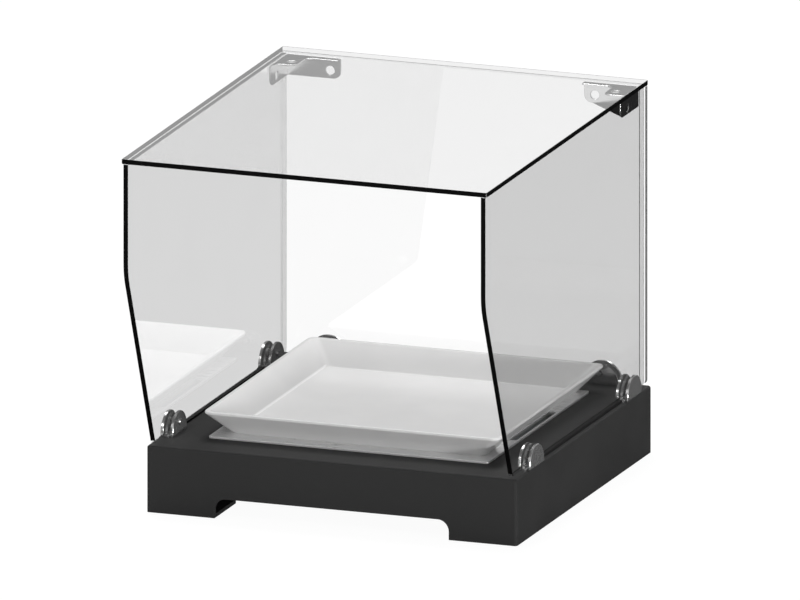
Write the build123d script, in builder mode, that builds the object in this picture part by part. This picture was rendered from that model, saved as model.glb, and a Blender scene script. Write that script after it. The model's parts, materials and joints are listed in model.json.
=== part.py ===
from build123d import *

import math
import os

# Refrigerated buffet display case: a black base that holds cold packs under a steel plate,
# a white tray on the plate, and an open-fronted cover of glass panes in half-round clamps.
# Millimetres, +X to the right, -Y towards the open front, +Z up. The origin is on the counter,
# under the middle of the whole outline, so the base's own middle lies behind it.

# Base housing
base_width = 400.0
base_depth = 400.0
base_height = 70.0
corner_radius = 3.0
top_edge_radius = 2.5
wall = 4.0
deck_thickness = 5.0
leg_width = 73.5
arch_height = 20.7
arch_radius = 12.0
leg_floor_depth = 62.0
leg_floor_thickness = 4.0
post_radius = 6.0
post_inset = 17.0
driver_hole_radius = 4.5
rib_thickness = 3.0
rib_reach = 14.0
rib_drop = 18.0
rib_spacing = 110.0

# Rubber feet
foot_radius = 15.0
foot_recess = 2.0
foot_proud = 1.0
foot_inset = 34.0

# Bottom cover and its screws
cover_thickness = 1.5
cover_rim_height = 8.0
cover_clearance = 0.5
cover_lift = 0.8
cover_screw_radius = 2.0
cover_screw_length = 14.0
screw_head_radius = 3.5
screw_head_height = 2.4
hole_clearance = 0.15

# Cold well
tub_thickness = 2.0
tub_draft = 8.0
tub_depth = 34.0
tub_ledge_x = 3.0
tub_ledge_y = 8.0
tub_corner_radius = 14.0
tub_floor_radius = 4.0
flange_thickness = 1.5
fit_gap = 0.4
foam_side_room = 20.0
foam_gap = 0.5
foam_corner_cut = 18.0

# Cooling plate
plate_size = 302.0
plate_thickness = 3.0
plate_proud = 2.0
plate_corner_radius = 3.0
slot_length = 120.0
slot_width = 8.0
slot_margin = 2.5
slot_edge_radius = 0.4

# Cold packs
pack_side_room = 6.0
pack_end_room = 3.0
pack_gap = 3.0
pack_top_gap = 0.5
pack_corner_radius = 12.0
pack_edge_radius = 3.0
pack_panel_inset = 16.0
pack_panel_depth = 1.5
pack_rib_count = 4
pack_rib_width = 6.0
cap_radius = 11.0
cap_height = 6.0
cap_flat_radius = 22.0
cap_slot_length = 15.0
cap_slot_width = 3.5
cap_from_end = 30.0
cap_from_side = 30.0
cap_notches = 8
cap_notch_radius = 1.2

# Tray
tray_rim = 319.0
tray_foot = 275.0
tray_height = 25.5
tray_floor = 3.0
tray_floor_inset = 5.5
tray_rim_width = 4.5
tray_corner_radius = 9.0
tray_inner_radius = 8.0
tray_foot_radius = 7.0
tray_lip = 2.5
tray_edge_radius = 1.2
tray_cove_radius = 3.0
tray_setback = 7.5
tray_shift = 2.5

# Glass
glass = 5.0
pane_inset = 7.0
pane_gap = 0.5
top_margin = 2.5
front_overhang = 82.0
total_height = 392.0
side_front_setback = 1.0
bend_height = 270.5
bend_radius = 60.0
sill_setback = 1.0
pane_corner_radius = 5.0
pane_top_radius = 1.0
top_corner_radius = 2.0

# Clamps
jaw_radius = 21.3
jaw_thickness = 3.0
jaw_drop = 1.7
jaw_chamfer = 0.4
washer_thickness = 1.2
washer_radius = 4.0
clamp_foot_length = 50.0
clamp_foot_height = 2.5
clamp_screw_height = 8.5
clamp_screw_radius = 2.5
clamp_head_radius = 3.6
clamp_head_height = 1.6
head_chamfer = 0.8
screw_bite = 2.0
glass_hole_clearance = 0.5
foot_screw_radius = 2.0
foot_screw_spread = 13.0
foot_screw_inward = 1.0
foot_screw_short = 0.5
front_clamp_from_front = 61.5
rear_clamp_from_rear = 48.5
back_clamp_from_side = 52.0

# Sill seals
seal_width = 4.0
seal_clearance = 0.3

# Corner brackets and their bond pads
bracket_thickness = 1.5
bend_outer_radius = 1.2
bracket_height = 21.5
bracket_back_length = 58.5
bracket_side_length = 54.0
bracket_corner_radius = 8.0
bracket_small_radius = 2.0
bracket_hole_radius = 4.7
back_hole_from_end = 11.5
back_hole_from_edge = 8.5
side_hole_from_corner = 34.0
side_hole_from_edge = 7.0
tab_width = 24.0
tab_depth = 41.0
tab_arm_width = 9.0
tab_curve_radius = 8.0
tab_hole_in = 15.0
tab_hole_back = 28.0
bond_thickness = 0.5
bond_length = 20.0
bond_width = 12.0
bond_from_corner = 4.0

# Levels and middles that follow from the sizes above
base_y = front_overhang / 2
deck_z = foot_proud + base_height
deck_under_z = deck_z - deck_thickness
plate_z = deck_z + plate_proud - plate_thickness
plate_top_z = plate_z + plate_thickness
rebate_z = plate_z - flange_thickness
cover_z = foot_proud + arch_height + cover_lift
cover_top_z = cover_z + cover_thickness
foam_z = cover_top_z + foam_gap
sill_z = deck_z + clamp_foot_height
side_top_z = total_height - glass
inner_half_x = base_width / 2 - wall
inner_half_y = base_depth / 2 - wall
arch_width = base_width - 2 * leg_width
tub_half_x = plate_size / 2 - tub_ledge_x
tub_half_y = plate_size / 2 - tub_ledge_y
tub_floor_z = plate_z - tub_depth
tub_shrink = tub_depth * math.tan(math.radians(tub_draft))
pane_middle_x = base_width / 2 - pane_inset
pane_middle_y = base_depth / 2 - pane_inset
pane_face_x = pane_middle_x - glass / 2
pane_face_y = pane_middle_y - glass / 2
top_half_x = base_width / 2 - top_margin
top_rear = base_depth / 2 - top_margin
top_front = -(base_depth / 2 + front_overhang)
slot_x = plate_size / 2 - slot_margin - slot_width / 2
jaw_offset = glass / 2 + washer_thickness
clamp_width = 2 * (jaw_offset + jaw_thickness)
front_clamp_y = front_clamp_from_front - base_depth / 2
rear_clamp_y = base_depth / 2 - rear_clamp_from_rear
back_clamp_x = base_width / 2 - back_clamp_from_side


def level(z):
    """The horizontal plane at height z, centred on the base."""
    return Plane((0, base_y, z))


def corners(inset_x, inset_y):
    """The four places that lie the given distances in from the base's sides."""
    return GridLocations(base_width - 2 * inset_x, base_depth - 2 * inset_y, 2, 2)


# Each clamp: name, place on its pane's middle line, direction out through the pane
clamp_places = {
    "front_left_clamp": ((-pane_middle_x, front_clamp_y), (-1, 0)),
    "front_right_clamp": ((pane_middle_x, front_clamp_y), (1, 0)),
    "rear_left_clamp": ((-pane_middle_x, rear_clamp_y), (-1, 0)),
    "rear_right_clamp": ((pane_middle_x, rear_clamp_y), (1, 0)),
    "back_left_clamp": ((-back_clamp_x, pane_middle_y), (0, 1)),
    "back_right_clamp": ((back_clamp_x, pane_middle_y), (0, 1)),
}


def clamp_plane(name):
    """Upright plane in the middle of the glass, at the foot's top, facing outwards."""
    (x, y), (out_x, out_y) = clamp_places[name]
    return Plane((x, base_y + y, sill_z), x_dir=(-out_y, out_x, 0), z_dir=(out_x, out_y, 0))


def clamp_ground(name, z):
    """Horizontal plane under a clamp, with its x along the pane."""
    (x, y), (out_x, out_y) = clamp_places[name]
    return Plane((x, base_y + y, z), x_dir=(-out_y, out_x, 0), z_dir=(0, 0, 1))


def foot_screw_places():
    """Where the foot screws stand on a clamp's ground plane."""
    return Locations(
        (-foot_screw_spread, foot_screw_inward), (foot_screw_spread, foot_screw_inward)
    )


def tub_block(grow, top_z, depth):
    """The tub's tapered block, grown sideways, from top_z down."""
    with BuildPart() as block:
        with BuildSketch(level(top_z)):
            RectangleRounded(
                2 * (tub_half_x + grow), 2 * (tub_half_y + grow), tub_corner_radius + grow
            )
        extrude(amount=-depth, taper=tub_draft)
    return block.part


os.makedirs("parts", exist_ok=True)
finished = []


def finish(builder, label):
    """Names a finished piece and writes its file."""
    builder.part.label = label
    export_step(builder.part, f"parts/{label}.step")
    finished.append(builder.part)


# Base housing: moulded box, open below, with arches front and rear
with BuildPart() as base_housing:
    with BuildSketch(level(foot_proud)):
        RectangleRounded(base_width, base_depth, corner_radius)
    extrude(amount=base_height)
    fillet(base_housing.faces().sort_by(Axis.Z)[-1].edges(), top_edge_radius)
    with BuildSketch(level(foot_proud)):
        RectangleRounded(2 * inner_half_x, 2 * inner_half_y, corner_radius)
    extrude(amount=base_height - deck_thickness, mode=Mode.SUBTRACT)
    with BuildSketch(level(foot_proud)):
        with corners((wall + leg_width) / 2, wall + leg_floor_depth / 2):
            RectangleRounded(leg_width - wall, leg_floor_depth, corner_radius)
    extrude(amount=leg_floor_thickness)
    with BuildSketch(Plane((0, base_y, foot_proud), x_dir=(1, 0, 0), z_dir=(0, -1, 0))):
        with BuildLine():
            FilletPolyline(
                (-arch_width / 2, -foot_proud),
                (-arch_width / 2, arch_height),
                (arch_width / 2, arch_height),
                (arch_width / 2, -foot_proud),
                radius=arch_radius,
            )
            Line((arch_width / 2, -foot_proud), (-arch_width / 2, -foot_proud))
        make_face()
    extrude(amount=base_depth, both=True, mode=Mode.SUBTRACT)
    # Clamp seats fill the rounded edge under each clamp
    for name in clamp_places:
        with BuildSketch(clamp_ground(name, deck_under_z)):
            Rectangle(clamp_foot_length, clamp_width)
        extrude(amount=deck_thickness)
    # Rebate for the tub's flange and the plate, and the opening for the tub
    with BuildSketch(level(rebate_z)):
        RectangleRounded(
            plate_size + 2 * fit_gap, plate_size + 2 * fit_gap, plate_corner_radius
        )
    extrude(amount=deck_thickness, mode=Mode.SUBTRACT)
    with BuildSketch(level(deck_under_z)):
        RectangleRounded(
            2 * (tub_half_x + tub_thickness + fit_gap),
            2 * (tub_half_y + tub_thickness + fit_gap),
            tub_corner_radius + tub_thickness,
        )
    extrude(amount=deck_thickness, mode=Mode.SUBTRACT)
    # Posts for the bottom cover's screws
    with BuildSketch(level(cover_top_z)):
        with corners(post_inset, post_inset):
            Circle(post_radius)
            Circle(cover_screw_radius + hole_clearance, mode=Mode.SUBTRACT)
    extrude(amount=deck_under_z - cover_top_z)
    # Ribs that stiffen the side walls under the deck
    for turn in range(4):
        reach_to = inner_half_x if turn % 2 == 0 else inner_half_y
        for shift in (-rib_spacing / 2, rib_spacing / 2):
            across = Vector(1, 0, 0).rotate(Axis.Z, 90 * turn)
            side = Vector(0, 1, 0).rotate(Axis.Z, 90 * turn)
            rib_plane = Plane(
                Vector(0, base_y, deck_under_z) + side * (shift - rib_thickness / 2),
                x_dir=across,
                z_dir=across.cross(Vector(0, 0, 1)),
            )
            with BuildSketch(rib_plane):
                with BuildLine():
                    Polyline(
                        (reach_to, 0), (reach_to, -rib_drop), (reach_to - rib_reach, 0), close=True
                    )
                make_face()
            extrude(amount=-rib_thickness)
    # Recesses for the rubber feet, driver holes under the posts and the foot screws' holes
    with BuildSketch(level(foot_proud)):
        with corners(foot_inset, foot_inset):
            Circle(foot_radius + hole_clearance)
    extrude(amount=foot_recess, mode=Mode.SUBTRACT)
    with BuildSketch(level(foot_proud)):
        with corners(post_inset, post_inset):
            Circle(driver_hole_radius)
    extrude(amount=leg_floor_thickness, mode=Mode.SUBTRACT)
    for name in clamp_places:
        with BuildSketch(clamp_ground(name, deck_under_z)):
            with foot_screw_places():
                Circle(foot_screw_radius + hole_clearance)
        extrude(amount=deck_thickness, mode=Mode.SUBTRACT)
finish(base_housing, "base_housing")

# Rubber feet, pressed into their recesses
foot_names = ("foot_rear_right", "foot_rear_left", "foot_front_left", "foot_front_right")
foot_signs = ((1, 1), (-1, 1), (-1, -1), (1, -1))
for foot_name, (sign_x, sign_y) in zip(foot_names, foot_signs):
    foot_x = sign_x * (base_width / 2 - foot_inset)
    foot_y = base_y + sign_y * (base_depth / 2 - foot_inset)
    with BuildPart() as foot:
        with BuildSketch(Plane((foot_x, foot_y, 0))):
            Circle(foot_radius)
        extrude(amount=foot_proud + foot_recess)
        chamfer(foot.edges().filter_by(GeomType.CIRCLE).sort_by(Axis.Z)[0], foot_proud / 2)
    finish(foot, foot_name)

# Bottom cover: a shallow pan that meets the posts
with BuildPart() as bottom_cover:
    with BuildSketch(level(cover_z)):
        RectangleRounded(
            2 * (inner_half_x - cover_clearance),
            2 * (inner_half_y - cover_clearance),
            corner_radius,
        )
    extrude(amount=cover_rim_height)
    offset(
        amount=-cover_thickness, openings=bottom_cover.faces().sort_by(Axis.Z)[-1]
    )
    with BuildSketch(level(cover_z)):
        with corners(post_inset, post_inset):
            Circle(cover_screw_radius + hole_clearance)
    extrude(amount=cover_thickness, mode=Mode.SUBTRACT)
finish(bottom_cover, "bottom_cover")

with BuildPart() as bottom_cover_screws:
    with BuildSketch(level(cover_z)):
        with corners(post_inset, post_inset):
            Circle(screw_head_radius)
    extrude(amount=-screw_head_height)
    chamfer(
        bottom_cover_screws.edges().filter_by(GeomType.CIRCLE).group_by(Axis.Z)[0],
        screw_head_height / 3,
    )
    with BuildSketch(level(cover_z)):
        with corners(post_inset, post_inset):
            Circle(cover_screw_radius)
    extrude(amount=cover_screw_length)
finish(bottom_cover_screws, "bottom_cover_screws")

# Cold well: a tapered tub that hangs by its flange
with BuildPart() as well_liner:
    with BuildSketch(level(rebate_z)):
        RectangleRounded(
            plate_size + fit_gap, plate_size + fit_gap, plate_corner_radius
        )
    extrude(amount=flange_thickness)
    add(tub_block(tub_thickness, plate_z, tub_depth + tub_thickness))
    tub_inside = tub_block(0, plate_z, tub_depth)
    add(tub_inside, mode=Mode.SUBTRACT)
    tub_floor = well_liner.faces().filter_by(Axis.Z).sort_by(Axis.Z)[1]
    fillet(tub_floor.edges(), tub_floor_radius)
finish(well_liner, "well_liner")

with BuildPart() as insulation_foam:
    with BuildSketch(level(foam_z)):
        Rectangle(2 * (inner_half_x - foam_side_room), 2 * (inner_half_y - foam_side_room))
        chamfer(vertices(), foam_corner_cut)
    extrude(amount=deck_under_z - foam_gap - foam_z)
    add(
        tub_block(tub_thickness + foam_gap, plate_z, tub_depth + tub_thickness + foam_gap),
        mode=Mode.SUBTRACT,
    )
finish(insulation_foam, "insulation_foam")

# Cold packs, side by side on the tub's floor, and their filler caps
pack_half_y = tub_half_y - tub_shrink - pack_end_room
pack_width = tub_half_x - tub_shrink - pack_side_room - pack_gap / 2
pack_height = tub_depth - pack_top_gap
pack_middle_x = (pack_gap + pack_width) / 2
panel_length = 2 * (pack_half_y - pack_panel_inset)
rib_pitch = panel_length / (pack_rib_count + 1)
for side_name, side in (("left", -1), ("right", 1)):
    pack_base = Plane((side * pack_middle_x, base_y, tub_floor_z))
    pack_top = pack_base.offset(pack_height)
    cap_place = (
        side * (pack_width / 2 - cap_from_side),
        -(pack_half_y - cap_from_end),
    )
    with BuildPart() as cold_pack:
        with BuildSketch(pack_base):
            RectangleRounded(pack_width, 2 * pack_half_y, pack_corner_radius)
        extrude(amount=pack_height)
        rims = cold_pack.faces().filter_by(Axis.Z).edges()
        fillet(rims, pack_edge_radius)
        with BuildSketch(pack_top.offset(-pack_panel_depth)):
            RectangleRounded(
                pack_width - 2 * pack_panel_inset, panel_length, pack_corner_radius / 2
            )
            with GridLocations(1, rib_pitch, 1, pack_rib_count):
                Rectangle(pack_width, pack_rib_width, mode=Mode.SUBTRACT)
            with Locations(cap_place):
                Circle(cap_flat_radius, mode=Mode.SUBTRACT)
        extrude(amount=pack_panel_depth, mode=Mode.SUBTRACT)
        with BuildSketch(pack_top.offset(-cap_height)):
            with Locations(cap_place):
                Circle(cap_radius + fit_gap)
        extrude(amount=cap_height, mode=Mode.SUBTRACT)
    finish(cold_pack, f"cold_pack_{side_name}")
    with BuildPart() as pack_cap:
        with BuildSketch(pack_top.offset(-cap_height)):
            with Locations(cap_place):
                Circle(cap_radius)
                with PolarLocations(cap_radius, cap_notches):
                    Circle(cap_notch_radius, mode=Mode.SUBTRACT)
        extrude(amount=cap_height)
        with BuildSketch(pack_top.offset(-cap_height / 2)):
            with Locations(cap_place):
                SlotOverall(cap_slot_length, cap_slot_width)
        extrude(amount=cap_height, mode=Mode.SUBTRACT)
    finish(pack_cap, f"cold_pack_cap_{side_name}")

# Cooling plate with its two finger slots
with BuildPart() as cooling_plate:
    with BuildSketch(level(plate_z)):
        RectangleRounded(plate_size, plate_size, plate_corner_radius)
        with Locations((-slot_x, 0), (slot_x, 0)):
            SlotOverall(slot_length, slot_width, rotation=90, mode=Mode.SUBTRACT)
    extrude(amount=plate_thickness)
    fillet(cooling_plate.faces().sort_by(Axis.Z)[-1].edges(), slot_edge_radius)
finish(cooling_plate, "cooling_plate")

# Tray: sloping walls lofted from the foot to the rim. It stands loose, a little off the middle.
with BuildPart() as tray:
    tray_y = base_y + tray_setback
    inner_top = tray_rim - 2 * tray_rim_width
    inner_floor = tray_foot - 2 * tray_floor_inset
    with BuildSketch(Plane((tray_shift, tray_y, plate_top_z))):
        RectangleRounded(tray_foot, tray_foot, tray_foot_radius)
    with BuildSketch(Plane((tray_shift, tray_y, plate_top_z + tray_height - tray_lip))):
        RectangleRounded(tray_rim, tray_rim, tray_corner_radius)
    loft()
    with BuildSketch(Plane((tray_shift, tray_y, plate_top_z + tray_height - tray_lip))):
        RectangleRounded(tray_rim, tray_rim, tray_corner_radius)
    extrude(amount=tray_lip)
    with BuildSketch(Plane((tray_shift, tray_y, plate_top_z + tray_floor))):
        RectangleRounded(inner_floor, inner_floor, tray_foot_radius)
    with BuildSketch(Plane((tray_shift, tray_y, plate_top_z + tray_height))):
        RectangleRounded(inner_top, inner_top, tray_inner_radius)
    loft(mode=Mode.SUBTRACT)
    fillet(tray.faces().filter_by(Axis.Z).sort_by(Axis.Z)[-1].edges(), tray_edge_radius)
    fillet(tray.faces().filter_by(Axis.Z).sort_by(Axis.Z)[1].edges(), tray_cove_radius)
finish(tray, "tray")

# Glass panes, with a hole for each clamp's screw
screw_z = sill_z + clamp_screw_height
glass_hole_radius = clamp_screw_radius + glass_hole_clearance
side_front = base_y + top_front + side_front_setback
side_rear = base_y + pane_face_y - pane_gap
for side_name, side in (("left", -1), ("right", 1)):
    pane_plane = Plane(
        (side * pane_middle_x - glass / 2, 0, 0), x_dir=(0, 1, 0), z_dir=(1, 0, 0)
    )
    with BuildPart() as side_pane:
        with BuildSketch(pane_plane):
            with BuildLine():
                FilletPolyline(
                    (side_front, side_top_z),
                    (side_front, bend_height),
                    (base_y - base_depth / 2 + sill_setback, sill_z),
                    (side_rear, sill_z),
                    (side_rear, side_top_z),
                    radius=(
                        pane_top_radius,
                        bend_radius,
                        pane_corner_radius,
                        pane_corner_radius,
                        pane_top_radius,
                    ),
                    close=True,
                )
            make_face()
        extrude(amount=glass)
        for name in (f"front_{side_name}_clamp", f"rear_{side_name}_clamp"):
            with BuildSketch(clamp_plane(name)):
                with Locations((0, clamp_screw_height)):
                    Circle(glass_hole_radius)
            extrude(amount=glass, both=True, mode=Mode.SUBTRACT)
    finish(side_pane, f"{side_name}_pane")

with BuildPart() as back_pane:
    with BuildSketch(
        Plane((0, base_y + pane_middle_y, 0), x_dir=(1, 0, 0), z_dir=(0, -1, 0))
    ):
        with BuildLine():
            FilletPolyline(
                (-top_half_x, side_top_z),
                (-top_half_x, sill_z),
                (top_half_x, sill_z),
                (top_half_x, side_top_z),
                radius=(pane_top_radius, pane_corner_radius, pane_corner_radius, pane_top_radius),
                close=True,
            )
        make_face()
    extrude(amount=glass / 2, both=True)
    for name in ("back_left_clamp", "back_right_clamp"):
        with BuildSketch(clamp_plane(name)):
            with Locations((0, clamp_screw_height)):
                Circle(glass_hole_radius)
        extrude(amount=glass, both=True, mode=Mode.SUBTRACT)
finish(back_pane, "back_pane")

with BuildPart() as top_pane:
    with BuildSketch(Plane((0, 0, side_top_z))):
        with Locations((0, base_y + (top_front + top_rear) / 2)):
            RectangleRounded(2 * top_half_x, top_rear - top_front, top_corner_radius)
    extrude(amount=glass)
finish(top_pane, "top_pane")


def jaw_sketch():
    """Half-round jaw outline, standing on the deck."""
    with Locations((0, -jaw_drop)):
        Circle(jaw_radius)
    with Locations((0, -clamp_foot_height)):
        Rectangle(
            4 * jaw_radius, 2 * jaw_radius, align=(Align.CENTER, Align.MAX), mode=Mode.SUBTRACT
        )


for name in clamp_places:
    middle = clamp_plane(name)
    # Clamp body: the outer jaw and the foot bar between the jaws, in one piece
    with BuildPart() as body:
        with BuildSketch(middle.offset(jaw_offset)):
            jaw_sketch()
        extrude(amount=jaw_thickness)
        chamfer(body.edges().filter_by(GeomType.CIRCLE), jaw_chamfer)
        with BuildSketch(clamp_ground(name, deck_z)):
            SlotOverall(clamp_foot_length, 2 * jaw_offset)
        extrude(amount=clamp_foot_height)
        with BuildSketch(middle.offset(jaw_offset)):
            with Locations((0, clamp_screw_height)):
                Circle(clamp_screw_radius + hole_clearance)
        extrude(amount=screw_bite + hole_clearance, mode=Mode.SUBTRACT)
        with BuildSketch(clamp_ground(name, deck_z)):
            with foot_screw_places():
                Circle(foot_screw_radius + hole_clearance)
        extrude(amount=clamp_foot_height, mode=Mode.SUBTRACT)
    finish(body, f"{name}_body")
    with BuildPart() as inner_jaw:
        with BuildSketch(middle.offset(-jaw_offset - jaw_thickness)):
            jaw_sketch()
        extrude(amount=jaw_thickness)
        chamfer(inner_jaw.edges().filter_by(GeomType.CIRCLE), jaw_chamfer)
        with BuildSketch(middle.offset(-jaw_offset - jaw_thickness)):
            with Locations((0, clamp_screw_height)):
                Circle(clamp_screw_radius + hole_clearance)
        extrude(amount=jaw_thickness, mode=Mode.SUBTRACT)
    finish(inner_jaw, f"{name}_inner_jaw")
    with BuildPart() as washers:
        for start in (-jaw_offset, glass / 2):
            with BuildSketch(middle.offset(start)):
                with Locations((0, clamp_screw_height)):
                    Circle(washer_radius)
                    Circle(clamp_screw_radius + hole_clearance, mode=Mode.SUBTRACT)
            extrude(amount=washer_thickness)
    finish(washers, f"{name}_washers")
    with BuildPart() as clamp_screw:
        head_plane = middle.offset(-jaw_offset - jaw_thickness)
        with BuildSketch(head_plane):
            with Locations((0, clamp_screw_height)):
                Circle(clamp_head_radius)
        extrude(amount=-clamp_head_height)
        outwards = Axis(middle.origin, middle.z_dir)
        chamfer(clamp_screw.faces().sort_by(outwards)[0].edges(), head_chamfer)
        with BuildSketch(head_plane):
            with Locations((0, clamp_screw_height)):
                Circle(clamp_screw_radius)
        extrude(amount=2 * jaw_offset + jaw_thickness + screw_bite)
    finish(clamp_screw, f"{name}_screw")

with BuildPart() as clamp_foot_screws:
    for name in clamp_places:
        with BuildSketch(clamp_ground(name, deck_under_z)):
            with foot_screw_places():
                Circle(screw_head_radius)
        extrude(amount=-screw_head_height)
        with BuildSketch(clamp_ground(name, deck_under_z)):
            with foot_screw_places():
                Circle(foot_screw_radius)
        extrude(amount=deck_thickness + clamp_foot_height - foot_screw_short)
finish(clamp_foot_screws, "clamp_foot_screws")

# Sill seals under the panes, from clamp foot to clamp foot
seal_height = sill_z - deck_z
side_seal_front = front_clamp_y + clamp_foot_length / 2 + seal_clearance
side_seal_rear = rear_clamp_y - clamp_foot_length / 2 - seal_clearance
for side_name, side in (("left", -1), ("right", 1)):
    with BuildPart() as side_seal:
        with BuildSketch(level(deck_z)):
            with Locations((side * pane_middle_x, (side_seal_front + side_seal_rear) / 2)):
                Rectangle(seal_width, side_seal_rear - side_seal_front)
        extrude(amount=seal_height)
    finish(side_seal, f"{side_name}_sill_seal")

back_seal_half = back_clamp_x - clamp_foot_length / 2 - seal_clearance
with BuildPart() as back_seal:
    with BuildSketch(level(deck_z)):
        with Locations((0, pane_middle_y)):
            Rectangle(2 * back_seal_half, seal_width)
    extrude(amount=seal_height)
finish(back_seal, "back_sill_seal")

# Corner brackets: three flanges from one bent sheet, bonded to the glass
corner_x = pane_face_x - bond_thickness
corner_y = base_y + pane_face_y - bond_thickness
corner_z = side_top_z - bond_thickness
with BuildPart() as right_bracket:
    with BuildSketch(Plane((corner_x, corner_y, corner_z - bracket_thickness))):
        with BuildLine():
            FilletPolyline(
                (0, 0),
                (-bracket_back_length, 0),
                (-bracket_back_length, -tab_arm_width),
                (-tab_width, -tab_arm_width),
                (-tab_width, -tab_depth),
                (0, -tab_depth),
                radius=(0, 0, bracket_small_radius, tab_curve_radius, tab_curve_radius, 0),
                close=True,
            )
        make_face()
        with Locations((-tab_hole_in, -tab_hole_back)):
            Circle(bracket_hole_radius, mode=Mode.SUBTRACT)
    extrude(amount=bracket_thickness)
    back_flange = Plane((corner_x, corner_y, corner_z), x_dir=(1, 0, 0), z_dir=(0, -1, 0))
    with BuildSketch(back_flange):
        with BuildLine():
            FilletPolyline(
                (0, 0),
                (-bracket_back_length, 0),
                (-bracket_back_length, -bracket_height),
                (0, -bracket_height),
                radius=(0, 0, bracket_corner_radius, 0),
                close=True,
            )
        make_face()
        with Locations(
            (-bracket_back_length + back_hole_from_end, -bracket_height + back_hole_from_edge)
        ):
            Circle(bracket_hole_radius, mode=Mode.SUBTRACT)
    extrude(amount=bracket_thickness)
    side_flange = Plane((corner_x, corner_y, corner_z), x_dir=(0, 1, 0), z_dir=(1, 0, 0))
    with BuildSketch(side_flange):
        with BuildLine():
            FilletPolyline(
                (0, 0),
                (-bracket_side_length, 0),
                (-bracket_side_length, -bracket_height),
                (0, -bracket_height),
                radius=(0, bracket_small_radius, bracket_corner_radius, 0),
                close=True,
            )
        make_face()
        with Locations((-side_hole_from_corner, -bracket_height + side_hole_from_edge)):
            Circle(bracket_hole_radius, mode=Mode.SUBTRACT)
    extrude(amount=-bracket_thickness)
    # The three outer bends meet at the corner
    corner_point = Vector(corner_x, corner_y, corner_z)
    bends = right_bracket.edges().filter_by(lambda edge: edge.distance_to(corner_point) < fit_gap)
    fillet(bends, bend_outer_radius)
finish(right_bracket, "right_corner_bracket")

with BuildPart() as left_bracket:
    mirror(right_bracket.part, about=Plane.YZ)
finish(left_bracket, "left_corner_bracket")

with BuildPart() as right_bonds:
    pad_middle = bond_from_corner + bond_length / 2
    with BuildSketch(Plane((corner_x, corner_y, corner_z))):
        with Locations((-pad_middle, -bond_from_corner - bond_width / 4)):
            Rectangle(bond_length, bond_width / 2)
    extrude(amount=bond_thickness)
    with BuildSketch(back_flange):
        with Locations((-pad_middle, -bracket_height / 2)):
            Rectangle(bond_length, bond_width)
    extrude(amount=-bond_thickness)
    with BuildSketch(side_flange):
        with Locations((-pad_middle, -bracket_height / 2)):
            Rectangle(bond_length, bond_width)
    extrude(amount=bond_thickness)
finish(right_bonds, "right_bracket_bonds")

with BuildPart() as left_bonds:
    mirror(right_bonds.part, about=Plane.YZ)
finish(left_bonds, "left_bracket_bonds")

print(len(finished), "pieces")
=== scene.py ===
import json
import math

import bmesh
import bpy
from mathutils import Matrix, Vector


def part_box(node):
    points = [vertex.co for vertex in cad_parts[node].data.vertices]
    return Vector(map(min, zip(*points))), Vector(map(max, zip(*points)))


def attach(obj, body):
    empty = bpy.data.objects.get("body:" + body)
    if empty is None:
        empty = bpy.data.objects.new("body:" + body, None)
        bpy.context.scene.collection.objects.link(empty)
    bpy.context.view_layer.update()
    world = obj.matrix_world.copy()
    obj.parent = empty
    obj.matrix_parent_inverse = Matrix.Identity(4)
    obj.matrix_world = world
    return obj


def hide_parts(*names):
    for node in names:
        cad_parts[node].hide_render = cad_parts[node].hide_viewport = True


# Refrigerated buffet display case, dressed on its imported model. Metres, -Y is the open front.

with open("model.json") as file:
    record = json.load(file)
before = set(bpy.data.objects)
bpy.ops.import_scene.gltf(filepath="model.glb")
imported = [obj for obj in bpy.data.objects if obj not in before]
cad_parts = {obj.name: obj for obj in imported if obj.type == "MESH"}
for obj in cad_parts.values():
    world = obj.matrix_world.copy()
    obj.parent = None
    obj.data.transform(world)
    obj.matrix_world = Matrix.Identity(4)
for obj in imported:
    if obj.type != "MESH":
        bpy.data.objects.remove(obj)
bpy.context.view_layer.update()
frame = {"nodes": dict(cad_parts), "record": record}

MM = 0.001

# The photograph's view: a parallel projection from the right of the open front
view_azimuth = math.radians(20.0)
view_elevation = math.radians(14.8)
pixels_per_metre = 985.0
image_width = 800
camera_distance = 3.0
camera_reach = 20.0
# Where the base's lower front left corner lies from the middle of the image, in pixels
corner_left = 253.5
corner_down = 212.0

# What lies before this is the base's front face, which is written paler as painted light
front_face = -158.6 * MM

# The tray's middle, how far its floor's seams lie from that, the top of the painted highlight
# along them and its half widths
tray_middle_x = 2.5 * MM
tray_middle_y = 48.5 * MM
tray_seam = 132.4 * MM
tray_seam_top = 78.0 * MM
highlight_core = 0.4 * MM
highlight_end = 1.5 * MM

# Glass: its index, the share of mirrored light that a pane swaps for a painted dark reflection,
# and how bright that painted dark stays
glass_index = 1.5
upright_painted_dark = 0.92
top_painted_dark = 0.2
painted_dark_level = 0.05

# How far the tops of the upright panes' copies rise into the top pane, which the CAD tops only
# touch, to hide a light line along the joint, and how near a copy's top its top points lie
joint_rise = 0.45 * MM
joint_edge = 0.01 * MM

# Arrises of the panes and rounded edges of the brackets
left_arris = 0.15 * MM
right_arris = 0.5 * MM
back_arris = 0.7 * MM
top_arris = 0.4 * MM
bracket_edge = 0.35 * MM

# Which points of a CAD mesh are one, which of its faces lie flat, and which edges are sharp
weld_distance = 0.002 * MM
flat_angle = math.radians(0.5)
arris_angle = math.radians(35.0)
fold_angle = math.radians(60.0)
# How well a face's normal has to follow a side's direction to lie on it or to lean to it
on_side = 0.9
leans_to_side = 0.5

to_front = (0, -1, 0)
to_rear = (0, 1, 0)
to_left = (-1, 0, 0)
to_right = (1, 0, 0)
to_top = (0, 0, 1)

# Studio
white = 1.0
floor_half = 6.0
floor_glow = 1.06
glow_share = 0.9
# Mirrored floor: bright before the first of these places, dark behind the second
bright_before = -0.5
dark_behind = -0.3

# A Mix node's sockets for colours
mix_share, mix_first, mix_second, mix_colour = 0, 6, 7, 2


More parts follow.
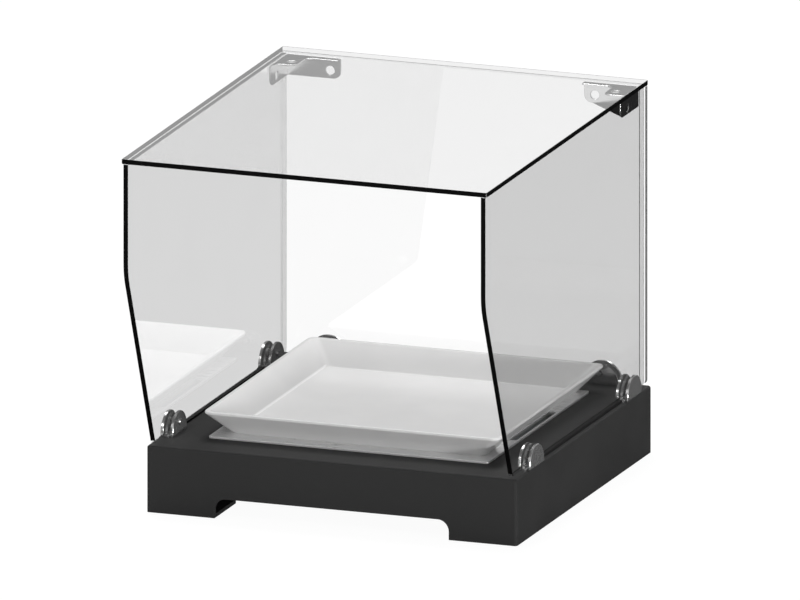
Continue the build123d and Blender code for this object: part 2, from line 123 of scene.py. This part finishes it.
class Value:
    """A shader socket that takes part in Python expressions."""

    def __init__(self, paint, socket):
        self.paint = paint
        self.socket = socket

    def maths(self, operation, *inputs):
        return self.paint.node("ShaderNodeMath", {"operation": operation}, inputs)

    def __add__(self, other):
        return self.maths("ADD", self, other)

    def __radd__(self, other):
        return self.maths("ADD", other, self)

    def __sub__(self, other):
        return self.maths("SUBTRACT", self, other)

    def __rsub__(self, other):
        return self.maths("SUBTRACT", other, self)

    def __mul__(self, other):
        return self.maths("MULTIPLY", self, other)

    def __rmul__(self, other):
        return self.maths("MULTIPLY", other, self)

    def __truediv__(self, other):
        return self.maths("DIVIDE", self, other)

    def __rtruediv__(self, other):
        return self.maths("DIVIDE", other, self)

    def __abs__(self):
        return self.maths("ABSOLUTE", self)

    def __lt__(self, other):
        return self.maths("LESS_THAN", self, other)

    def smooth(self, start, end):
        """0 before start and 1 after end, with a soft step between."""
        return self.paint.node(
            "ShaderNodeMapRange",
            {"interpolation_type": "SMOOTHSTEP"},
            {"Value": self, "From Min": start, "From Max": end},
        )


class Paint:
    """A material or world under construction."""

    def __init__(self, owner):
        self.owner = owner
        owner.use_nodes = True
        self.tree = owner.node_tree
        self.tree.nodes.clear()

    def node(self, kind, settings=None, inputs=(), output=0):
        """Adds a node, sets its settings and sockets, and gives back one output."""
        made = self.tree.nodes.new(kind)
        for key, setting in (settings or {}).items():
            setattr(made, key, setting)
        pairs = inputs.items() if isinstance(inputs, dict) else enumerate(inputs)
        for key, given in pairs:
            if isinstance(given, Value):
                self.tree.links.new(given.socket, made.inputs[key])
            else:
                made.inputs[key].default_value = given
        return Value(self, made.outputs[output])

    def places(self, stretch=(1.0, 1.0, 1.0)):
        """Object coordinates, stretched."""
        here = self.node("ShaderNodeTexCoord", output="Object")
        return self.node("ShaderNodeMapping", {}, {"Vector": here, "Scale": stretch})

    def numbers(self, vector):
        """The three numbers of a vector."""
        apart = self.node("ShaderNodeSeparateXYZ", {}, [vector])
        return [Value(self, output) for output in apart.socket.node.outputs]

    def axes(self):
        """Object coordinates as three numbers."""
        return self.numbers(self.node("ShaderNodeTexCoord", output="Object"))

    def noise(self, size, detail=3.0, roughness=0.5, stretch=(1.0, 1.0, 1.0)):
        """Noise whose features are about size metres wide."""
        return self.node(
            "ShaderNodeTexNoise",
            {},
            {
                "Vector": self.places(stretch),
                "Scale": 1.0 / size,
                "Detail": detail,
                "Roughness": roughness,
            },
        )

    def mix(self, share, first, second):
        """A colour between two colours."""
        return self.node(
            "ShaderNodeMix",
            {"data_type": "RGBA"},
            {mix_share: share, mix_first: first, mix_second: second},
            mix_colour,
        )

    def bump(self, height, strength, distance):
        return self.node(
            "ShaderNodeBump", {}, {"Height": height, "Strength": strength, "Distance": distance}
        )

    def rays(self):
        """1 for rays that reach this without a bounce, be it through glass, and 1 for mirrored
        rays."""
        outputs = self.node("ShaderNodeLightPath").socket.node.outputs
        bounces = Value(self, outputs["Glossy Depth"]) + Value(self, outputs["Diffuse Depth"])
        return bounces < 0.5, Value(self, outputs["Is Glossy Ray"])

    def principled(self, **sockets):
        """A Principled BSDF, its sockets named with underscores for spaces."""
        inputs = {name.replace("_", " "): given for name, given in sockets.items()}
        return self.node("ShaderNodeBsdfPrincipled", {}, inputs)

    def surface(self, shader):
        """Ends the material or world with a shader."""
        of_world = isinstance(self.owner, bpy.types.World)
        kind = "ShaderNodeOutputWorld" if of_world else "ShaderNodeOutputMaterial"
        end = self.tree.nodes.new(kind)
        self.tree.links.new(shader.socket, end.inputs["Surface"])
        return self.owner

    def finish(self, **sockets):
        """Ends the material with a Principled BSDF."""
        return self.surface(self.principled(**sockets))


def new_paint(name):
    return Paint(bpy.data.materials.new(name))


def grey(level, warm=0.0):
    return (level * (1 + warm), level, level * (1 - warm), 1.0)


def moulded_black():
    """Charcoal moulded plastic with a fine grain and a soft sheen. Its colour is written a little
    paler on the base's front face, as painted light."""
    paint = new_paint("moulded_black")
    grain = paint.noise(0.0006, 2.0, 0.6)
    cloud = paint.noise(0.06, 3.0)
    plain = paint.mix(cloud.smooth(0.3, 0.7), grey(0.026), grey(0.03))
    return paint.finish(
        # Painted light: the base's front face is a little paler than the rest
        Base_Color=paint.mix(paint.axes()[1] < front_face, plain, grey(0.036)),
        Roughness=0.5 + 0.08 * cloud + 0.05 * grain,
        Specular_IOR_Level=0.08,
        Normal=paint.bump(grain, 0.25, 0.00008),
    )


def matte_black(name, level):
    """Matte black with a powdery surface: rubber, seal, and the painted shade on the brackets'
    glass-facing sides and the bond pads.
    """
    paint = new_paint(name)
    dust = paint.noise(0.004, 4.0, 0.65)
    return paint.finish(
        Base_Color=paint.mix(dust.smooth(0.35, 0.75), grey(level), grey(level * 1.8)),
        Roughness=0.7 + 0.15 * dust,
        Specular_IOR_Level=0.15,
        Normal=paint.bump(paint.noise(0.0008, 2.0), 0.3, 0.0001),
    )


def sheet_steel(name, level, rough, stretch, metal=1.0):
    """Brushed sheet steel. The brushing runs along the axis with the smallest stretch."""
    paint = new_paint(name)
    lines = paint.noise(0.0008, 3.0, 0.6, stretch)
    cloud = paint.noise(0.08, 3.0)
    return paint.finish(
        Base_Color=paint.mix(lines.smooth(0.3, 0.7), grey(level * 0.95), grey(level * 1.03)),
        Metallic=metal,
        Roughness=rough - 0.02 + 0.05 * lines + 0.03 * cloud,
        Normal=paint.bump(lines, 0.08, 0.00002),
    )


def polished_steel():
    """Polished steel with faint hairlines."""
    paint = new_paint("polished_steel")
    haze = paint.noise(0.006, 4.0, 0.6)
    hairs = paint.noise(0.0004, 2.0, 0.5, (1.0, 1.0, 0.1))
    return paint.finish(
        Base_Color=paint.mix(haze, grey(0.56), grey(0.66)),
        Metallic=0.91,
        Roughness=0.11 + 0.07 * haze + 0.04 * hairs,
        Normal=paint.bump(hairs, 0.08, 0.00003),
    )


def glazed_white():
    """White melamine, glossy and very slightly uneven, with a painted highlight along its floor's
    side seams.
    """
    paint = new_paint("glazed_white")
    cloud = paint.noise(0.05, 2.0)
    plain = paint.mix(cloud.smooth(0.3, 0.7), grey(0.765, 0.002), grey(0.785, 0.003))
    x, y, z = paint.axes()
    off_seam = abs(abs(x - tray_middle_x) - tray_seam)
    # Painted highlight: a pale line along the floor's left and right seams
    painted_seam_highlight = (1.0 - off_seam.smooth(highlight_core, highlight_end)) * (z < tray_seam_top)
    return paint.finish(
        Base_Color=paint.mix(painted_seam_highlight * (abs(y - tray_middle_y) < tray_seam), plain, grey(0.97)),
        Roughness=0.22 + 0.04 * cloud,
        IOR=1.5,
        Specular_IOR_Level=0.4,
        Normal=paint.bump(paint.noise(0.03, 1.0), 0.04, 0.0003),
    )


def float_glass(name, clearness, painted_dark_share):
    """Thin-walled float glass: it mirrors by angle and lets the rest through unbent. A share of
    what metal and plastic mirror through it is a painted dark reflection, a dim emission, as in
    the photograph."""
    paint = new_paint(name)
    haze = paint.noise(0.09, 4.0, 0.6).smooth(0.5, 0.85)
    one_face = paint.node("ShaderNodeFresnel", {}, {"IOR": glass_index})
    both_faces = 2.0 * one_face / (1.0 + one_face)
    inside = paint.node("ShaderNodeNewGeometry", output="Backfacing")
    lost = 1.0 - clearness + 0.01 * haze
    clear = paint.principled(
        Base_Color=paint.mix(haze, grey(0.98), grey(0.95)),
        Metallic=1.0,
        Roughness=0.01 * haze,
        Alpha=(both_faces + lost) * (1.0 - inside),
        Normal=paint.bump(paint.noise(0.15, 1.0), 0.02, 0.0004),
    )
    # Painted dark reflection: for mirrored rays a share of the pane is a nearly black emission
    mirrored = paint.node("ShaderNodeLightPath", output="Is Glossy Ray")
    dark = paint.node(
        "ShaderNodeEmission", {}, {"Color": grey(white), "Strength": painted_dark_level}
    )
    return paint.surface(
        paint.node("ShaderNodeMixShader", {}, [painted_dark_share * mirrored, clear, dark])
    )


def ground_edge(name, level):
    """The ground edge of a pane, matte from any side; its colour, black or grey by the level
    given, is painted shade.
    """
    paint = new_paint(name)
    haze = paint.noise(0.004, 3.0, 0.6)
    return paint.finish(
        Base_Color=paint.mix(haze, grey(0.5 * level), grey(1.5 * level)),
        Roughness=0.5 + 0.1 * haze,
        Specular_IOR_Level=0.05,
        Normal=paint.bump(paint.noise(0.0007, 2.0), 0.1, 0.00005),
    )


def liner_grey():
    """Light grey vacuum-formed plastic."""
    paint = new_paint("liner_grey")
    cloud = paint.noise(0.05, 3.0)
    return paint.finish(
        Base_Color=paint.mix(cloud, (0.56, 0.58, 0.6, 1.0), (0.62, 0.64, 0.66, 1.0)),
        Roughness=0.45 + 0.1 * cloud,
        Normal=paint.bump(paint.noise(0.001, 2.0), 0.15, 0.0001),
    )


def foam_yellow():
    """Rigid insulating foam with an open grain."""
    paint = new_paint("foam_yellow")
    cells = paint.node("ShaderNodeTexVoronoi", {}, {"Vector": paint.places(), "Scale": 900.0})
    cloud = paint.noise(0.03, 4.0)
    return paint.finish(
        Base_Color=paint.mix(cloud, (0.72, 0.62, 0.36, 1.0), (0.82, 0.74, 0.5, 1.0)),
        Roughness=0.9,
        Normal=paint.bump(cells, 0.5, 0.0004),
    )


def pack_shell():
    """Pale blow-moulded shell of a cold pack."""
    paint = new_paint("pack_shell")
    cloud = paint.noise(0.03, 4.0)
    grain = paint.noise(0.0009, 2.0, 0.6)
    shade = cloud.smooth(0.3, 0.7)
    return paint.finish(
        Base_Color=paint.mix(shade, (0.52, 0.55, 0.58, 1.0), (0.6, 0.62, 0.64, 1.0)),
        Roughness=0.36 + 0.12 * cloud,
        IOR=1.5,
        Normal=paint.bump(0.3 * cloud + 0.7 * grain, 0.25, 0.0002),
    )


def soft_white(name, level, rough):
    """Pale moulded plastic of the caps and washers."""
    paint = new_paint(name)
    cloud = paint.noise(0.01, 3.0)
    return paint.finish(
        Base_Color=paint.mix(cloud, grey(level * 0.94), grey(level)),
        Roughness=rough + 0.1 * cloud,
        Normal=paint.bump(paint.noise(0.0008, 2.0), 0.15, 0.0001),
    )


# Painted shade: each pane gets its own clearness, the right pane written darkest
left_glass = float_glass("left_glass", 0.93, upright_painted_dark)
right_glass = float_glass("right_glass", 0.885, upright_painted_dark)
back_glass = float_glass("back_glass", 0.98, upright_painted_dark)
top_glass = float_glass("top_glass", 0.975, top_painted_dark)
# Painted shade: the panes' ground edges are painted black, and the back pane's right side grey
painted_dark_edge = ground_edge("painted_dark_edge", 0.002)
painted_grey_edge = ground_edge("painted_grey_edge", 0.2)
# Painted shade: near black on the brackets' glass-facing sides and on the bond pads
painted_shade_black = matte_black("painted_shade_black", 0.004)
finishes = {
    "base_black": moulded_black(),
    "foot_rubber": matte_black("foot_rubber", 0.018),
    "cover_steel": sheet_steel("cover_steel", 0.5, 0.42, (0.08, 1.0, 1.0)),
    "screw_steel": sheet_steel("screw_steel", 0.55, 0.3, (1.0, 1.0, 1.0)),
    "liner_plastic": liner_grey(),
    "foam": foam_yellow(),
    "pack_shell": pack_shell(),
    "cap_white": soft_white("cap_white", 0.78, 0.35),
    "plate_steel": sheet_steel("plate_steel", 0.74, 0.26, (0.03, 1.0, 1.0), metal=0.45),
    "tray_white": glazed_white(),
    "clear_glass": top_glass,
    "clamp_chrome": polished_steel(),
    "washer_clear": soft_white("washer_clear", 0.7, 0.4),
    "seal_black": matte_black("seal_black", 0.008),
    "bracket_steel": sheet_steel("bracket_steel", 0.8, 0.2, (0.1, 1.0, 1.0)),
    "bond_clear": painted_shade_black,
}

record = frame["record"]
slot_of = {part["node"]: part["material_slot"] for part in record["subparts"]}
body_of_node = {
    node: body for body, nodes in record["behaviour"]["bodies"].items() for node in nodes
}


def piece_from(name, shape, node, materials):
    """Makes a bmesh into a piece that stands for a CAD node and rides on its body. The mesh gets
    its materials first, so that its faces keep their slots."""
    mesh = bpy.data.meshes.new(name)
    for material in materials:
        mesh.materials.append(material)
    shape.to_mesh(mesh)
    shape.free()
    piece = bpy.data.objects.new(name, mesh)
    bpy.context.scene.collection.objects.link(piece)
    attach(piece, body_of_node[node])
    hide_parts(node)
    return piece


def copy_of(node):
    """A CAD node's mesh as a bmesh with its loose triangles joined."""
    shape = bmesh.new()
    shape.from_mesh(frame["nodes"][node].data)
    bmesh.ops.remove_doubles(shape, verts=shape.verts, dist=weld_distance)
    bmesh.ops.dissolve_limit(
        shape, angle_limit=flat_angle, verts=shape.verts, edges=shape.edges
    )
    return shape


def bevel_sharp(shape, least_angle, offset, segments, slot):
    """Bevels the edges that are sharper than an angle, with faces in a material slot."""
    sharp = [
        edge
        for edge in shape.edges
        if len(edge.link_faces) == 2 and edge.calc_face_angle(0.0) > least_angle
    ]
    bmesh.ops.bevel(
        shape,
        geom=sharp,
        offset=offset,
        affect="EDGES",
        segments=segments,
        profile=0.5,
        material=slot,
    )


def faces_one_of(face, sides, least):
    return any(face.normal.dot(Vector(side)) > least for side in sides)


def pane(node, glass, arris, painted_dark_sides=(), painted_grey_sides=()):
    """A pane whose black sides are ground and painted black, as painted shade. Its arrises are
    black too, or only those beside its grey sides if it has any, which are painted grey as shade.
    The top of an upright pane rises into the top pane."""
    shape = copy_of(node)
    if node != "top_pane":
        top = max(vertex.co.z for vertex in shape.verts)
        for vertex in shape.verts:
            if vertex.co.z > top - joint_edge:
                vertex.co.z += joint_rise
    for face in shape.faces:
        face.material_index = 1 if faces_one_of(face, painted_dark_sides, on_side) else 0
    shape.normal_update()
    bevel_sharp(shape, arris_angle, arris, 1, 1)
    for face in shape.faces:
        face.smooth = False
        if faces_one_of(face, painted_grey_sides, on_side):
            face.material_index = 2
        elif painted_grey_sides and not faces_one_of(face, painted_grey_sides, leans_to_side):
            face.material_index = 0
    piece = piece_from(f"{node}_glass", shape, node, [glass, painted_dark_edge, painted_grey_edge])
    piece.visible_shadow = False


def bracket(node, painted_shade_sides):
    """A corner bracket with rounded edges, painted near black on the sides that face the glass,
    as painted shade.
    """
    shape = copy_of(node)
    for face in shape.faces:
        face.material_index = 1 if faces_one_of(face, painted_shade_sides, on_side) else 0
    bevel_sharp(shape, fold_angle, bracket_edge, 2, 0)
    piece_from(f"{node}_bent", shape, node, [finishes["bracket_steel"], painted_shade_black])


for node, thing in frame["nodes"].items():
    thing.data.materials.clear()
    thing.data.materials.append(finishes[slot_of[node]])

pane("left_pane", left_glass, left_arris, painted_dark_sides=[to_front, to_top])
pane("right_pane", right_glass, right_arris, painted_dark_sides=[to_front, to_top])
pane("back_pane", back_glass, back_arris, painted_grey_sides=[to_right])
pane("top_pane", top_glass, top_arris, painted_dark_sides=[to_front, to_left, to_right])

bracket("left_corner_bracket", [to_left, to_rear, to_top])
bracket("right_corner_bracket", [to_right, to_rear, to_top])


def stage_floor():
    """Pale floor. Seen straight or through glass it is near white and keeps a light shadow.
    In reflections it is bright before the case and dark beside and behind it."""
    paint = new_paint("floor_pale")
    seen, mirrored = paint.rays()
    before = 1.0 - paint.axes()[1].smooth(bright_before, dark_behind)
    lit = paint.node("ShaderNodeBsdfDiffuse", {}, {"Color": grey(0.9)})
    glow = paint.node("ShaderNodeEmission", {}, {"Color": grey(white), "Strength": floor_glow})
    dim = paint.node(
        "ShaderNodeEmission", {}, {"Color": grey(white), "Strength": 0.03 + 0.87 * before}
    )
    shown = paint.node("ShaderNodeMixShader", {}, [glow_share, lit, glow])
    other = paint.node("ShaderNodeMixShader", {}, [mirrored, lit, dim])
    paint.surface(paint.node("ShaderNodeMixShader", {}, [seen, other, shown]))
    mesh = bpy.data.meshes.new("floor")
    shape = bmesh.new()
    bmesh.ops.create_grid(shape, x_segments=1, y_segments=1, size=floor_half)
    shape.to_mesh(mesh)
    shape.free()
    floor = bpy.data.objects.new("floor", mesh)
    bpy.context.scene.collection.objects.link(floor)
    floor.data.materials.append(paint.owner)


def studio_world():
    """White where it is seen straight or through glass, and a soft studio for reflections:
    bright in a band above the horizon, darker overhead."""
    world = bpy.data.worlds.new("studio")
    bpy.context.scene.world = world
    paint = Paint(world)
    seen, _ = paint.rays()
    height = paint.numbers(paint.node("ShaderNodeTexCoord", output="Generated"))[2]
    level = 0.08 + 0.62 * height.smooth(0.0, 0.22) - 0.5 * height.smooth(0.3, 0.6)
    room = paint.node("ShaderNodeBackground", {}, {"Color": grey(white), "Strength": level})
    plain = paint.node("ShaderNodeBackground", {}, {"Color": grey(white), "Strength": 1.0})
    paint.surface(paint.node("ShaderNodeMixShader", {}, [seen, room, plain]))


def softbox(name, place, aim_height, size, power):
    """A square area lamp that looks at a point on the case's middle axis."""
    lamp = bpy.data.lights.new(name, "AREA")
    lamp.energy = power
    lamp.size = size
    thing = bpy.data.objects.new(name, lamp)
    bpy.context.scene.collection.objects.link(thing)
    thing.location = place
    sight = Vector((0.0, 0.0, aim_height)) - Vector(place)
    thing.rotation_euler = sight.to_track_quat("-Z", "Y").to_euler()


def studio_camera():
    """The photograph's camera."""
    lens = bpy.data.cameras.new("camera")
    lens.type = "ORTHO"
    lens.ortho_scale = image_width / pixels_per_metre
    lens.clip_end = camera_reach
    across = Vector((math.cos(view_azimuth), math.sin(view_azimuth), 0.0))
    towards = Vector(
        (
            math.sin(view_azimuth) * math.cos(view_elevation),
            -math.cos(view_azimuth) * math.cos(view_elevation),
            math.sin(view_elevation),
        )
    )
    up = towards.cross(across)
    base_low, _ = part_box("base_housing")
    aim = base_low + (across * corner_left + up * corner_down) / pixels_per_metre
    camera = bpy.data.objects.new("camera", lens)
    bpy.context.scene.collection.objects.link(camera)
    camera.location = aim + towards * camera_distance
    camera.rotation_euler = towards.to_track_quat("Z", "Y").to_euler()
    bpy.context.scene.camera = camera


stage_floor()
studio_world()
softbox("key", (-0.4, 0.8, 1.8), aim_height=0.1, size=1.0, power=26.0)
softbox("side", (2.3, -0.8, 0.14), aim_height=0.1, size=0.2, power=34.0)
softbox("front", (-0.6, -1.3, 1.15), aim_height=0.05, size=0.35, power=4.0)
softbox("rim", (0.0, 2.2, 1.08), aim_height=0.08, size=0.35, power=4.0)
studio_camera()
bpy.context.scene.view_settings.view_transform = "Standard"
